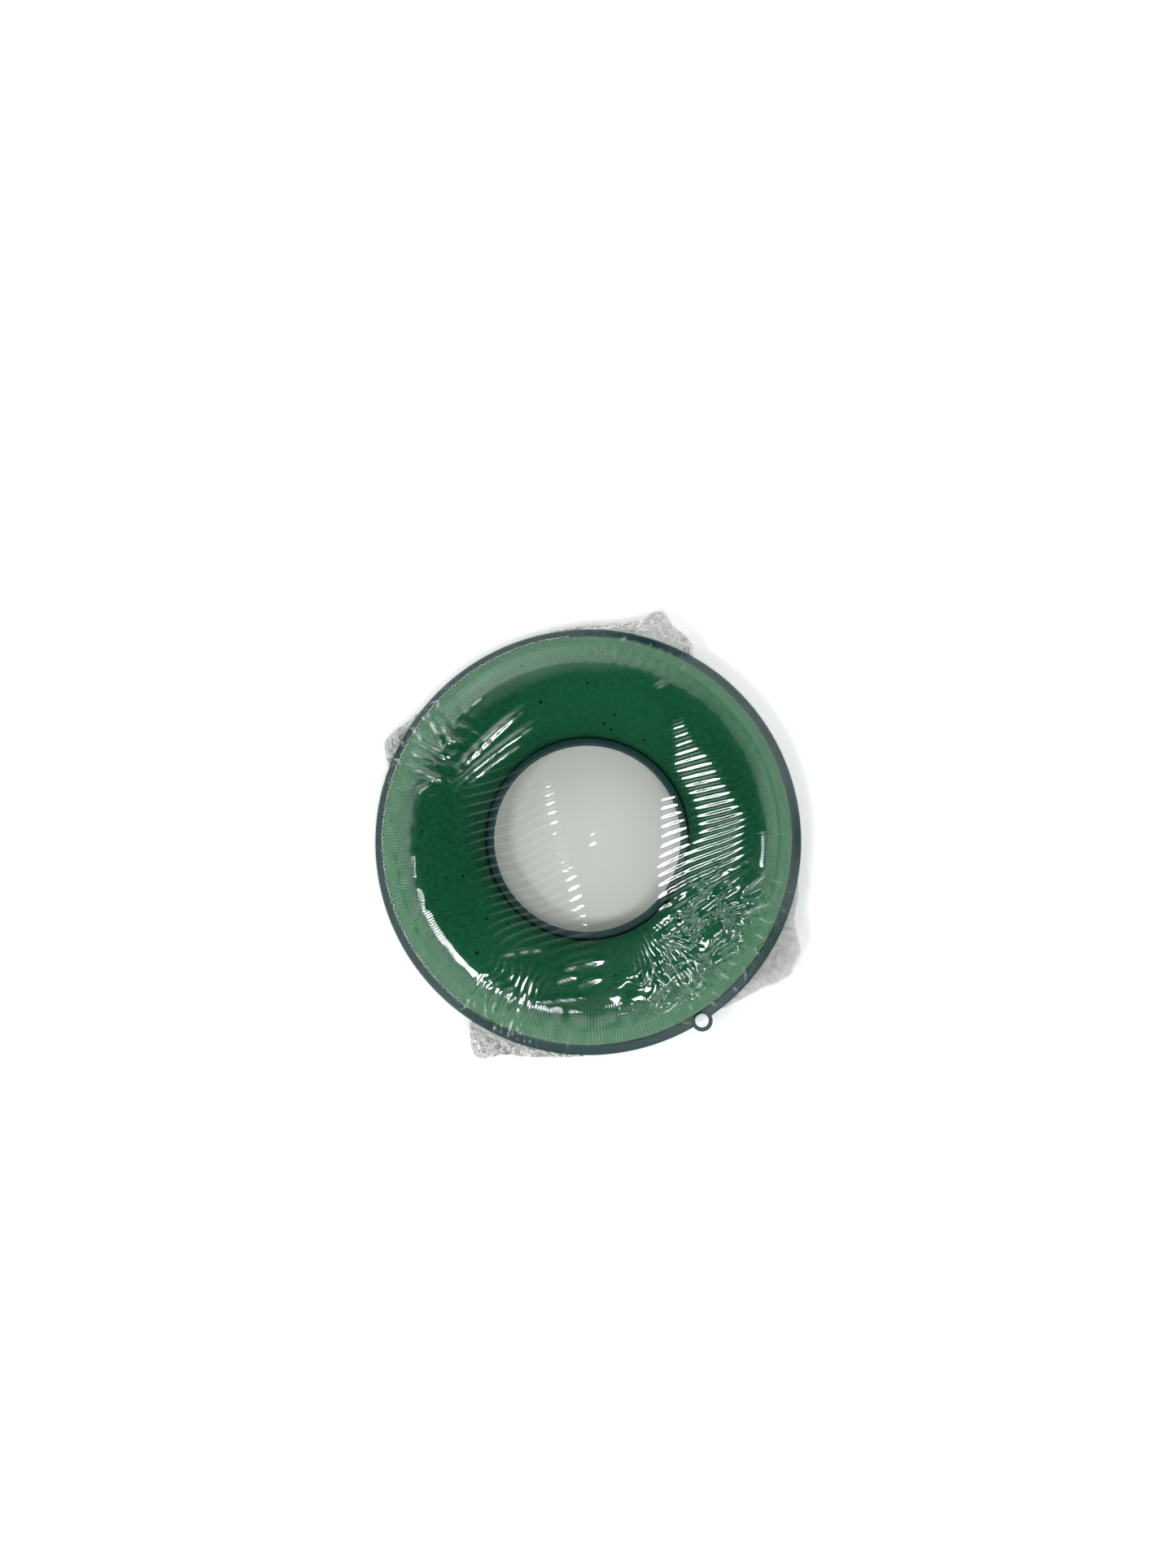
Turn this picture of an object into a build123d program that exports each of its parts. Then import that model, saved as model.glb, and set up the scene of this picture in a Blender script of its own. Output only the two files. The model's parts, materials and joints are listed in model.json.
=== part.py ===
"""Floral foam ring in a moulded tray, sealed in clear shrink film. Millimetres, +Z up.

The origin is on the ring's own axis, at the underside of the film that the ring stands on.
Angles are counted from +X, anticlockwise seen from above.
"""

import os
from math import acos, atan2, cos, hypot, radians, sin, sqrt, tan

from build123d import *

os.makedirs("parts", exist_ok=True)

# Film. Modelled thicker than the real skin, so that it stays a sound solid.
film_thickness = 0.3
film_gap = 0.1  # air left between the film and what it wraps
weld_drop = 1.6  # from the lip's top down to where the upper and lower films meet

# Tray: a round channel with a lip on each side
outer_diameter = 250.0
hole_diameter = 109.6
outer_lip_width = 6.0
inner_lip_width = 4.6
lip_drop = 3.2  # depth of the lips' turned-down edges
tray_wall = 1.0
wall_draft = 3.0  # degrees
channel_depth = 19.1
lip_corner_radius = 0.7
floor_corner_radius = 3.0
foot_height = 1.5
foot_width = 2.0
foot_inset = 5.0  # from the channel's wall to the near side of a foot ring
rib_count = 16
rib_width = 1.4
floor_rib_height = 1.5  # holds the foam off the floor, so that water runs under it
under_rib_clearance = 0.3  # the ribs under the floor stop this far above the feet

# Hanging eyelet on the outer lip
eyelet_angle = -57.9
eyelet_hole_radius = 3.9
eyelet_root = 0.4  # from the channel wall's outer face to the edge of the hole
eyelet_wall = 2.2
eyelet_thickness = 2.4
eyelet_film_clearance = 0.5  # the film is open by this much round the eyelet
eyelet_film_drop = 9.0  # and down to this far below the lip's top

# Foam ring
foam_clearance = 0.4  # between the foam and the channel's walls
foam_rise = 22.5  # the foam's crest above the tray's lip
shoulder_radius = 14.5
crown_rise = 2.4  # the crest above the tops of the shoulders' own arcs
foam_base_chamfer = 1.0

# Hot-melt spots that hold the foam to the tray's floor
glue_count = 8
glue_radius = 6.0

# Weld bead of the film, on the two sides where it was pulled up on to the ring's shoulder
weld_bead_radius = 0.45
weld_bead_start = 98.0
weld_bead_end = 238.0

# Ears, where the film's gathered corners stand out from the lip.
# Each has the points of its free edge: (angle, reach beyond the film round the lip).
ear_thickness = 0.6
ear_outlines = {
    "film_ear_top": [
        (100, 0.4), (91.8, 1.8), (85.7, 3.0), (79.6, 6.2), (75.5, 10.8), (73.5, 18.2),
        (71.6, 19.8), (67.4, 12.0), (63.3, 9.0), (61.2, 6.4), (59.4, 0.4),
    ],
    "film_ear_left": [
        (160.5, 0.4), (157.4, 5.2), (154.8, 9.0), (150.7, 7.0), (147.5, 3.2), (142.7, 0.4),
    ],
    "film_ear_bottom": [
        (237.2, 0.4), (240.7, 12.4), (242.6, 17.6), (244.6, 16.7), (248.6, 9.5), (254.5, 5.4),
        (262.4, 2.2), (269, 0.4),
    ],
    "film_ear_right": [
        (-51.5, 0.4), (-44.7, 4.8), (-40.7, 8.6), (-36.8, 14.4), (-33.8, 18.0), (-30.9, 15.9),
        (-28, 15.2), (-25, 9.4), (-21.5, 3.8), (-15.1, 2.0), (-12, 0.4),
    ],
}

# Radii and heights that follow from the driving dimensions
half_wall = tray_wall / 2
outer_radius = outer_diameter / 2
hole_radius = hole_diameter / 2
channel_outer = outer_radius - outer_lip_width
channel_inner = hole_radius + inner_lip_width
middle_radius = (channel_outer + channel_inner) / 2
draft_run = channel_depth * tan(radians(wall_draft))
floor_outer = channel_outer - draft_run
floor_inner = channel_inner + draft_run

foot_base = film_thickness + film_gap
floor_base = foot_base + foot_height
floor_top = floor_base + tray_wall
lip_top = floor_top + channel_depth
foam_base = floor_top + floor_rib_height
foam_top = lip_top + foam_rise


def on_circle(centre, radius, angle):
    """The point at an angle, in radians, on a circle in the section plane."""
    return (centre[0] + radius * cos(angle), centre[1] + radius * sin(angle))


# Ring tray -----------------------------------------------------------------------------------
wall_middle = [
    (outer_radius - half_wall, lip_top - lip_drop),
    (outer_radius - half_wall, lip_top - half_wall),
    (channel_outer + half_wall, lip_top - half_wall),
    (floor_outer + half_wall, floor_top - half_wall),
    (floor_inner - half_wall, floor_top - half_wall),
    (channel_inner - half_wall, lip_top - half_wall),
    (hole_radius + half_wall, lip_top - half_wall),
    (hole_radius + half_wall, lip_top - lip_drop),
]
corner_radii = 2 * [lip_corner_radius] + 2 * [floor_corner_radius] + 2 * [lip_corner_radius]
outer_foot = floor_outer - foot_inset - foot_width / 2
inner_foot = floor_inner + foot_inset + foot_width / 2
floor_rib_length = floor_outer - floor_inner - 2 * floor_corner_radius
eyelet_radius = eyelet_hole_radius + eyelet_wall
eyelet_centre = channel_outer + tray_wall + eyelet_root + eyelet_hole_radius
eyelet_spot = Vector(eyelet_centre, 0, 0).rotate(Axis.Z, eyelet_angle)

with BuildPart() as ring_tray:
    with BuildSketch(Plane.XZ) as channel_section:
        with BuildLine() as wall_line:
            FilletPolyline(*wall_middle, radius=corner_radii)
        trace(line_width=tray_wall)
    revolve(axis=Axis.Z)
    with BuildSketch(Plane.XZ) as foot_section:
        with Locations(
            (outer_foot, floor_base - foot_height / 2),
            (inner_foot, floor_base - foot_height / 2),
        ):
            Rectangle(foot_width, foot_height)
    revolve(axis=Axis.Z)
    with BuildSketch(Plane.XY.offset(floor_base)) as under_ribs:
        with PolarLocations(middle_radius, rib_count):
            Rectangle(outer_foot - inner_foot, rib_width)
    extrude(amount=under_rib_clearance - foot_height)
    with BuildSketch(Plane.XY.offset(floor_top)) as floor_ribs:
        with PolarLocations(middle_radius, rib_count):
            Rectangle(floor_rib_length, rib_width)
    extrude(amount=floor_rib_height)
    with BuildSketch(Plane.XY.offset(lip_top)) as eyelet_face:
        with Locations((eyelet_spot.X, eyelet_spot.Y)):
            Circle(eyelet_radius)
        Circle(channel_outer + tray_wall + lip_corner_radius, mode=Mode.SUBTRACT)
    extrude(amount=-eyelet_thickness)
    with Locations((eyelet_spot.X, eyelet_spot.Y, lip_top)):
        Hole(eyelet_hole_radius, depth=lip_drop + tray_wall)
ring_tray.part.label = "ring_tray"

# Foam ring -----------------------------------------------------------------------------------
# The crown is one large arc. Each shoulder is a smaller arc, tangent to the crown and to the side.
foam_outer = channel_outer - foam_clearance
foam_inner = channel_inner + foam_clearance
foam_draft_run = (lip_top - foam_base) * tan(radians(wall_draft))
shoulder_height = foam_top - crown_rise - shoulder_radius
outer_arc_centre = (foam_outer - shoulder_radius, shoulder_height)
inner_arc_centre = (foam_inner + shoulder_radius, shoulder_height)
arc_offset = outer_arc_centre[0] - middle_radius
crown_radius = shoulder_radius + (crown_rise**2 + arc_offset**2) / (2 * crown_rise)
crown_centre = (middle_radius, foam_top - crown_radius)
shoulder_slope = atan2(shoulder_height - crown_centre[1], arc_offset)

with BuildPart() as foam_ring:
    with BuildSketch(Plane.XZ) as foam_section:
        with BuildLine() as foam_outline:
            base = Line(
                (foam_inner + foam_draft_run, foam_base),
                (foam_outer - foam_draft_run, foam_base),
            )
            outer_taper = Line(base @ 1, (foam_outer, lip_top))
            outer_side = Line(outer_taper @ 1, (foam_outer, shoulder_height))
            outer_shoulder = ThreePointArc(
                outer_side @ 1,
                on_circle(outer_arc_centre, shoulder_radius, shoulder_slope / 2),
                on_circle(crown_centre, crown_radius, shoulder_slope),
            )
            crown = ThreePointArc(
                outer_shoulder @ 1,
                (middle_radius, foam_top),
                on_circle(crown_centre, crown_radius, radians(180) - shoulder_slope),
            )
            inner_shoulder = ThreePointArc(
                crown @ 1,
                on_circle(inner_arc_centre, shoulder_radius, radians(180) - shoulder_slope / 2),
                (foam_inner, shoulder_height),
            )
            inner_side = Line(inner_shoulder @ 1, (foam_inner, lip_top))
            Line(inner_side @ 1, base @ 0)
        make_face()
    revolve(axis=Axis.Z)
    base_edges = foam_ring.edges().filter_by(GeomType.CIRCLE).group_by(Axis.Z)[0]
    chamfer(base_edges, length=foam_base_chamfer)
foam_ring.part.label = "foam_ring"

# Glue spots, each midway between two of the tray's floor ribs -----------------------------------
with BuildPart() as glue_spots:
    with BuildSketch(Plane.XY.offset(floor_top)) as spots:
        with PolarLocations(middle_radius, glue_count, start_angle=180 / rib_count):
            Circle(glue_radius)
    extrude(amount=floor_rib_height)
glue_spots.part.label = "glue_spots"

# Film ----------------------------------------------------------------------------------------
# The panels are flat, from crest to crest over the hole and across the underside.
half_film = film_thickness / 2
skin = film_gap + half_film  # from a wrapped surface to the middle of the film
film_radius = outer_radius + skin
film_top = foam_top + skin
weld_height = lip_top - weld_drop
foot_line = floor_outer + tray_wall + film_gap  # where the film turns up round the tray

with BuildPart() as film_top_panel:
    with BuildSketch(Plane.XY.offset(film_top - half_film)) as top_disc:
        Circle(middle_radius)
    extrude(amount=film_thickness)
film_top_panel.part.label = "film_top_panel"

with BuildPart() as film_base_panel:
    with BuildSketch(Plane.XY) as base_disc:
        Circle(foot_line + film_thickness)
    extrude(amount=film_thickness)
film_base_panel.part.label = "film_base_panel"

# Over the foam's shoulder the film leaves on the tangent that runs to the lip's outer edge.
film_shoulder_radius = shoulder_radius + skin
lip_edge = (film_radius, lip_top + skin)
edge_run = lip_edge[0] - outer_arc_centre[0]
edge_fall = lip_edge[1] - outer_arc_centre[1]
leave_angle = atan2(edge_fall, edge_run) + acos(film_shoulder_radius / hypot(edge_run, edge_fall))
leave_point = on_circle(outer_arc_centre, film_shoulder_radius, leave_angle)
film_crown = crown_radius + skin
opening_base = lip_top - eyelet_film_drop
opening_height = film_top - opening_base

with BuildPart() as film_shoulder:
    with BuildSketch(Plane.XZ) as shoulder_section:
        with BuildLine() as shoulder_line:
            over_crown = ThreePointArc(
                (middle_radius, film_top),
                on_circle(crown_centre, film_crown, (radians(90) + shoulder_slope) / 2),
                on_circle(crown_centre, film_crown, shoulder_slope),
            )
            over_shoulder = ThreePointArc(
                over_crown @ 1,
                on_circle(outer_arc_centre, film_shoulder_radius, (leave_angle + shoulder_slope) / 2),
                leave_point,
            )
            bridge = Line(over_shoulder @ 1, lip_edge)
            Line(bridge @ 1, (film_radius, weld_height))
        trace(line_width=film_thickness)
    revolve(axis=Axis.Z)
    with BuildSketch(Plane.XY.offset(opening_base)) as shoulder_opening:
        with Locations((eyelet_spot.X, eyelet_spot.Y)):
            Circle(eyelet_radius + eyelet_film_clearance)
    extrude(amount=opening_height, mode=Mode.SUBTRACT)
film_shoulder.part.label = "film_shoulder"

with BuildPart() as film_side:
    with BuildSketch(Plane.XZ) as side_section:
        with BuildLine() as side_line:
            Polyline(
                (foot_line, film_thickness),
                (foot_line, floor_base),
                (film_radius, lip_top - lip_drop),
                (film_radius, weld_height),
            )
        trace(line_width=film_thickness)
    revolve(axis=Axis.Z)
    with BuildSketch(Plane.XY.offset(opening_base)) as side_opening:
        with Locations((eyelet_spot.X, eyelet_spot.Y)):
            Circle(eyelet_radius + eyelet_film_clearance)
    extrude(amount=opening_height, mode=Mode.SUBTRACT)
film_side.part.label = "film_side"

# Weld bead, on the film just below where it leaves the foam's shoulder --------------------------
bridge_length = hypot(lip_edge[0] - leave_point[0], lip_edge[1] - leave_point[1])
outward = (
    (leave_point[1] - lip_edge[1]) / bridge_length,
    (lip_edge[0] - leave_point[0]) / bridge_length,
)
bead_lift = half_film + film_gap + weld_bead_radius
bead_section_centre = (
    leave_point[0] + outward[0] * bead_lift,
    leave_point[1] + outward[1] * bead_lift,
)

with BuildPart() as film_weld_bead:
    with BuildSketch(Plane.XZ.rotated((0, 0, weld_bead_start))) as bead_section:
        with Locations(bead_section_centre):
            Circle(weld_bead_radius)
    revolve(axis=Axis.Z, revolution_arc=weld_bead_end - weld_bead_start)
film_weld_bead.part.label = "film_weld_bead"

# Ears ----------------------------------------------------------------------------------------
ear_root = film_radius + half_film + film_gap
film_ears = []
for ear_name, outline in ear_outlines.items():
    ear_points = [Vector(ear_root + reach, 0).rotate(Axis.Z, angle) for angle, reach in outline]
    with BuildPart() as film_ear:
        with BuildSketch(Plane.XY.offset(weld_height - ear_thickness / 2)) as ear_face:
            with BuildLine() as ear_line:
                Polyline(*ear_points, close=True)
            make_face()
            Circle(ear_root, mode=Mode.SUBTRACT)
        extrude(amount=ear_thickness)
    film_ear.part.label = ear_name
    film_ears.append(film_ear.part)

# Export --------------------------------------------------------------------------------------
export_step(ring_tray.part, "parts/ring_tray.step")
export_step(foam_ring.part, "parts/foam_ring.step")
export_step(glue_spots.part, "parts/glue_spots.step")
export_step(film_top_panel.part, "parts/film_top_panel.step")
export_step(film_shoulder.part, "parts/film_shoulder.step")
export_step(film_side.part, "parts/film_side.step")
export_step(film_base_panel.part, "parts/film_base_panel.step")
export_step(film_weld_bead.part, "parts/film_weld_bead.step")
for ear in film_ears:
    export_step(ear, f"parts/{ear.label}.step")
print("eyelet hole centre", round(eyelet_spot.X, 3), round(eyelet_spot.Y, 3), "lip top", round(lip_top, 3))
print("foam top", round(foam_top, 3), "film leaves the shoulder at", [round(c, 2) for c in leave_point])
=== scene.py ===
# %% [markdown]
# # A floral foam ring in shrink film
#
# The object is a ring of wet floral foam pressed into a dark teal tray, sealed in clear film that
# was shrunk round it. The tray's shape comes straight from the CAD and only needs a finish. The
# foam and the film are soft, so each gets its own mesh here: the foam a spun section with a grain,
# and the film thin skins whose wrinkles catch the lights. This first step loads the CAD frame and
# reads the sizes that everything else follows.

# %% Load the frame
import json
import math
import bpy
import numpy as np
from mathutils import Matrix, Vector


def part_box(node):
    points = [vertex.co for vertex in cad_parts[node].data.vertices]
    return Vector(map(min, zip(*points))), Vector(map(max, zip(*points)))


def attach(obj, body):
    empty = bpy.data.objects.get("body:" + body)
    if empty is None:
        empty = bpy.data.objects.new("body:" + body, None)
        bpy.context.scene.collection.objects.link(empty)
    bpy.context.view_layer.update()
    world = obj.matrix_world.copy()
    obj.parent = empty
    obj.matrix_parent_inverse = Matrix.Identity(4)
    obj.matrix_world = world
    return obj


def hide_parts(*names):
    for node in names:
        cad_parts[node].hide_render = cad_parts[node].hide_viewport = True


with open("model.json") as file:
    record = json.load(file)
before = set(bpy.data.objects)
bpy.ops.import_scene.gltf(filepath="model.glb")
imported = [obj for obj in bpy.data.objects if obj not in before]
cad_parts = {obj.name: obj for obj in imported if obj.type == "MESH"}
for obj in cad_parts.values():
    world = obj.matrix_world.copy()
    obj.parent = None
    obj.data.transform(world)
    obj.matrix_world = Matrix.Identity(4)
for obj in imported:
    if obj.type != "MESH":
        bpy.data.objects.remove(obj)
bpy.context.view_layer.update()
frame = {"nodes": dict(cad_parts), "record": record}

mm = 0.001
bpy.ops.object.select_all(action="DESELECT")

# %% Sizes that the film and foam follow
film_thickness = 0.3 * mm
half_film = film_thickness / 2
rim_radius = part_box("film_shoulder")[1].x - half_film
weld_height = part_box("film_side")[1].z
film_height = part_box("film_top_panel")[1].z - half_film
crest_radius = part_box("film_top_panel")[1].x
foam_low, foam_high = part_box("foam_ring")
foam_outer = foam_high.x
foam_inner = 2 * crest_radius - foam_outer
base_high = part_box("film_base_panel")[1]
print("rim", rim_radius, "film", film_height, "crest", crest_radius, "foam", foam_inner, foam_outer)

# %% [markdown]
# ## Small tools for materials
#
# A material is a tree of nodes. A few short helpers keep each finish readable: one starts an empty
# tree, one adds a node and sets its sockets, and one does sums on sockets. An operation whose name
# ends in an exclamation mark is clamped between 0 and 1. A number that is the same all over a
# surface is set on the shader itself, and only what varies is wired.

# %% Node helpers
def empty_tree(owner):
    owner.use_nodes = True
    owner.node_tree.nodes.clear()
    return owner.node_tree


def add(tree, kind, sockets=None, **settings):
    made = tree.nodes.new("ShaderNode" + kind)
    for name, value in settings.items():
        setattr(made, name, value)
    for name, value in (sockets or {}).items():
        socket = made.inputs[name]
        if isinstance(value, bpy.types.NodeSocket):
            tree.links.new(value, socket)
        else:
            socket.default_value = value
    return made


def total(tree, operation, first, second=0.0, third=0.0):
    clamped = operation.endswith("!")
    kind = operation.rstrip("!")
    return add(tree, "Math", {0: first, 1: second, 2: third}, operation=kind, use_clamp=clamped).outputs[0]


def blend_colours(tree, share, first, second):
    mixed = add(tree, "Mix", data_type="RGBA")
    for socket, value in ((mixed.inputs[0], share), (mixed.inputs[6], first), (mixed.inputs[7], second)):
        if isinstance(value, bpy.types.NodeSocket):
            tree.links.new(value, socket)
        else:
            socket.default_value = value
    return mixed.outputs[2]


def remap(tree, value, low, high, new_low=0.0, new_high=1.0):
    sockets = {"Value": value, "From Min": low, "From Max": high, "To Min": new_low, "To Max": new_high}
    return add(tree, "MapRange", sockets, interpolation_type="SMOOTHSTEP").outputs[0]


def finish_material(tree, surface):
    end = add(tree, "OutputMaterial")
    tree.links.new(surface.outputs[0], end.inputs["Surface"])


def dress(piece, material):
    piece.data.materials.clear()
    piece.data.materials.append(material)


# %% [markdown]
# ## The tray's plastic
#
# The tray is moulded polypropylene, a teal so dark that it is nearly black in its gaps. Such a
# moulding is satin, with a faint cloudiness in its colour, a fine spark-eroded grain and a little
# rubbing where it was handled. All of that is noise on the object's own coordinates.

# %% Teal plastic
teal_plastic = bpy.data.materials.new("teal_plastic")
tree = empty_tree(teal_plastic)
place = add(tree, "TexCoord").outputs["Object"]
cloud = add(tree, "TexNoise", {"Vector": place, "Scale": 60.0, "Detail": 4.0})
grain = add(tree, "TexNoise", {"Vector": place, "Scale": 1400.0, "Detail": 2.0})
rub = add(tree, "TexNoise", {"Vector": place, "Scale": 180.0, "Detail": 6.0, "Roughness": 0.7})
tint = blend_colours(tree, cloud.outputs["Fac"], (0.004, 0.032, 0.034, 1), (0.008, 0.052, 0.052, 1))
shine = total(tree, "MULTIPLY_ADD", rub.outputs["Fac"], 0.22, 0.24)
relief = add(tree, "Bump", {"Height": grain.outputs["Fac"], "Distance": 0.00006, "Strength": 0.5})
skin = add(tree, "BsdfPrincipled", {
    "Base Color": tint, "Roughness": shine, "Normal": relief.outputs[0],
    "IOR": 1.49, "Specular IOR Level": 0.28,
})
finish_material(tree, skin)
dress(frame["nodes"]["ring_tray"], teal_plastic)

# %% Milky adhesive
milky_glue = bpy.data.materials.new("milky_glue")
tree = empty_tree(milky_glue)
place = add(tree, "TexCoord").outputs["Object"]
swirl = add(tree, "TexNoise", {"Vector": place, "Scale": 300.0, "Detail": 3.0, "Distortion": 1.5})
tint = blend_colours(tree, swirl.outputs["Fac"], (0.55, 0.5, 0.38, 1), (0.78, 0.75, 0.64, 1))
relief = add(tree, "Bump", {"Height": swirl.outputs["Fac"], "Distance": 0.0003})
skin = add(tree, "BsdfPrincipled", {
    "Base Color": tint, "Roughness": 0.3, "Normal": relief.outputs[0], "Subsurface Weight": 0.2,
})
finish_material(tree, skin)
dress(frame["nodes"]["glue_spots"], milky_glue)
print("the CAD's tray and glue keep their shapes and have their finishes")

# %% [markdown]
# ## The foam ring
#
# Phenolic wet foam is a mass of tiny open cells. Cut or moulded, it is dull and slightly powdery,
# with scattered pits where a larger bubble broke through. The ring is one section spun round the
# axis: a rectangle whose outer and inner top corners are rounded and whose top is a little crowned.
# The section starts as a plane at the foam's own place, so no fitting is needed.

# %% Section of the foam, spun round
shoulder_radius = 14.5 * mm
crown_rise = 2.4 * mm
chamfer = 1.0 * mm
section_width = foam_outer - foam_inner
foam_top, foam_base = foam_high.z, foam_low.z
shoulder_top = foam_top - crown_rise
middle_height = (shoulder_top + foam_base) / 2
bpy.ops.mesh.primitive_plane_add(
    size=1, location=(crest_radius, 0, middle_height), rotation=(math.pi / 2, 0, 0),
)
foam = bpy.context.object
foam.name = "foam_body"
foam.scale = (section_width, shoulder_top - foam_base, 1)
bpy.ops.object.transform_apply(location=True, rotation=True, scale=True)


def select_vertices(piece, test):
    bpy.ops.object.mode_set(mode="OBJECT")
    bpy.context.view_layer.objects.active = piece
    bpy.ops.object.mode_set(mode="EDIT")
    bpy.ops.mesh.select_all(action="DESELECT")
    bpy.ops.object.mode_set(mode="OBJECT")
    for vertex in piece.data.vertices:
        vertex.select = test(vertex.co)
    bpy.ops.object.mode_set(mode="EDIT")


bpy.ops.object.mode_set(mode="EDIT")
bpy.ops.mesh.select_mode(type="VERT")
select_vertices(foam, lambda co: co.z > shoulder_top - 0.001 * mm)
bpy.ops.mesh.bevel(offset=shoulder_radius, segments=16, affect="VERTICES")
select_vertices(foam, lambda co: co.z < foam_base + 0.001 * mm)
bpy.ops.mesh.bevel(offset=chamfer, segments=2, affect="VERTICES")
bpy.ops.mesh.select_all(action="SELECT")
bpy.ops.mesh.delete(type="ONLY_FACE")
bpy.ops.mesh.select_all(action="SELECT")
bpy.ops.mesh.subdivide(number_cuts=1)
select_vertices(foam, lambda co: co.z > shoulder_top - 0.01 * mm)
bpy.ops.mesh.subdivide(number_cuts=11)
bpy.ops.object.mode_set(mode="OBJECT")
print("section points", len(foam.data.vertices))

# %% Crown it, then spin it
flat_part = foam_outer - shoulder_radius - crest_radius
crown_radius = (flat_part**2 + (crown_rise + shoulder_radius) ** 2 - shoulder_radius**2) / (2 * crown_rise)
crown_height = foam_top - crown_radius
shoulder_height = shoulder_top - shoulder_radius
shoulder_slope = math.atan2(flat_part, shoulder_height - crown_height)
for vertex in foam.data.vertices:
    across = abs(vertex.co.x - crest_radius)
    if vertex.co.z > shoulder_height and across < crown_radius * math.sin(shoulder_slope):
        vertex.co.z = crown_height + math.sqrt(crown_radius**2 - across**2)
bpy.ops.object.mode_set(mode="EDIT")
bpy.ops.mesh.select_all(action="SELECT")
bpy.ops.mesh.spin(steps=420, angle=2 * math.pi, center=(0, 0, 0), axis=(0, 0, 1))
bpy.ops.mesh.select_all(action="SELECT")
bpy.ops.mesh.remove_doubles(threshold=0.01 * mm)
bpy.ops.mesh.normals_make_consistent(inside=False)
bpy.ops.object.mode_set(mode="OBJECT")
bpy.ops.object.shade_smooth()
print("foam faces", len(foam.data.polygons))

# %% [markdown]
# ### Uneven faces, grain and pits
#
# Two scales are real geometry: a slow unevenness from the mould and a granular one. The smallest
# cells are finer than any mesh should carry, so they are bump in the material, and the scattered
# pits are cups there as well, darkened inside with painted shade.

# %% Unevenness of the foam
for name, size, depth in (("mould_waves", 22 * mm, 0.35 * mm), ("grains", 2.6 * mm, 0.16 * mm)):
    clouds = bpy.data.textures.new(name, "CLOUDS")
    clouds.noise_scale = size
    uneven = foam.modifiers.new(name, "DISPLACE")
    uneven.texture = clouds
    uneven.texture_coords = "LOCAL"
    uneven.strength = depth
    uneven.mid_level = 0.8
    bpy.ops.object.modifier_apply(modifier=name)

# %% Foam material
wet_foam = bpy.data.materials.new("wet_foam_green")
tree = empty_tree(wet_foam)
place = add(tree, "TexCoord").outputs["Object"]
broad = add(tree, "TexNoise", {"Vector": place, "Scale": 14.0, "Detail": 3.0})
mottle = add(tree, "TexNoise", {"Vector": place, "Scale": 420.0, "Detail": 5.0, "Roughness": 0.65})
cells = add(tree, "TexVoronoi", {"Vector": place, "Scale": 2200.0})
pits = add(tree, "TexVoronoi", {"Vector": place, "Scale": 105.0, "Randomness": 1.0})
patches = add(tree, "TexNoise", {"Vector": place, "Scale": 26.0, "Detail": 2.0})
pit_size = remap(tree, patches.outputs["Fac"], 0.34, 0.60, 0.0, 0.115)
pit = total(tree, "LESS_THAN", pits.outputs["Distance"], pit_size)
dark_green = (0.0016, 0.046, 0.019, 1)
mid_green = (0.0040, 0.070, 0.030, 1)
dusty_green = (0.008, 0.110, 0.048, 1)
outer_green = (0.015, 0.145, 0.050, 1)
# Painted shade: the pits take a near-black green, the shade inside the cups.
pit_painted_shade = (0.001, 0.012, 0.006, 1)
deep = blend_colours(tree, remap(tree, broad.outputs["Fac"], 0.3, 0.7), dark_green, mid_green)
dusty = blend_colours(tree, remap(tree, mottle.outputs["Fac"], 0.35, 0.7, 0.0, 0.5), deep, dusty_green)
sideways = add(tree, "VectorMath", {0: place, 1: (1, 1, 0)}, operation="MULTIPLY").outputs[0]
from_axis = add(tree, "VectorMath", {0: sideways}, operation="LENGTH").outputs["Value"]
# Toward the outer shoulder, from 96 to 113 mm out, the foam is made unevenly lighter.
near_edge = remap(tree, from_axis, 96 * mm, 113 * mm)
rough_edge = remap(tree, mottle.outputs["Fac"], 0.25, 0.6, 0.55, 1.0)
outer_lightened = blend_colours(tree, total(tree, "MULTIPLY", near_edge, rough_edge), dusty, outer_green)
tint = blend_colours(tree, pit, outer_lightened, pit_painted_shade)
height = total(tree, "MULTIPLY_ADD", cells.outputs["Distance"], 0.6, mottle.outputs["Fac"])
height = total(tree, "SUBTRACT", height, total(tree, "MULTIPLY", pit, 2.5))
relief = add(tree, "Bump", {"Height": height, "Distance": 0.00025, "Strength": 0.8})
skin = add(tree, "BsdfPrincipled", {
    "Base Color": tint, "Roughness": 0.9, "Normal": relief.outputs[0], "Specular IOR Level": 0.08,
})
finish_material(tree, skin)
dress(foam, wet_foam)
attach(foam, "root")
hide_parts("foam_ring")
bpy.ops.object.select_all(action="DESELECT")

# %% [markdown]
# ## The film's shape
#
# The film is one thin skin. Seen in section it runs flat over the hole from crest to crest,
# follows the foam's crown and shoulder, and then spans straight down to the tray's lip, where the
# upper and lower halves meet. Each half is a grid rolled round the axis: one direction of the grid
# is the angle, and the other is the way along the section. The seam and the pole are merged.

# %% Section of the upper film
skin_gap = film_height - foam_top
arc_centre = Vector((foam_outer - shoulder_radius, shoulder_height))
arc_radius = shoulder_radius + skin_gap
crown_centre = Vector((crest_radius, crown_height))
crown_skin = crown_radius + skin_gap
lip_rise = 1.85 * mm
lip_point = Vector((rim_radius, weld_height + lip_rise))
to_lip = lip_point - arc_centre
leave_slope = math.atan2(to_lip.x, to_lip.y) - math.acos(arc_radius / to_lip.length)
print("crown radius", round(crown_radius, 5), "slopes", round(math.degrees(shoulder_slope), 1),
      round(math.degrees(leave_slope), 1))


def arc(centre, radius, start, end, count):
    slopes = np.linspace(start, end, count)
    return np.stack([centre.x + radius * np.sin(slopes), centre.y + radius * np.cos(slopes)], 1)


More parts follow.
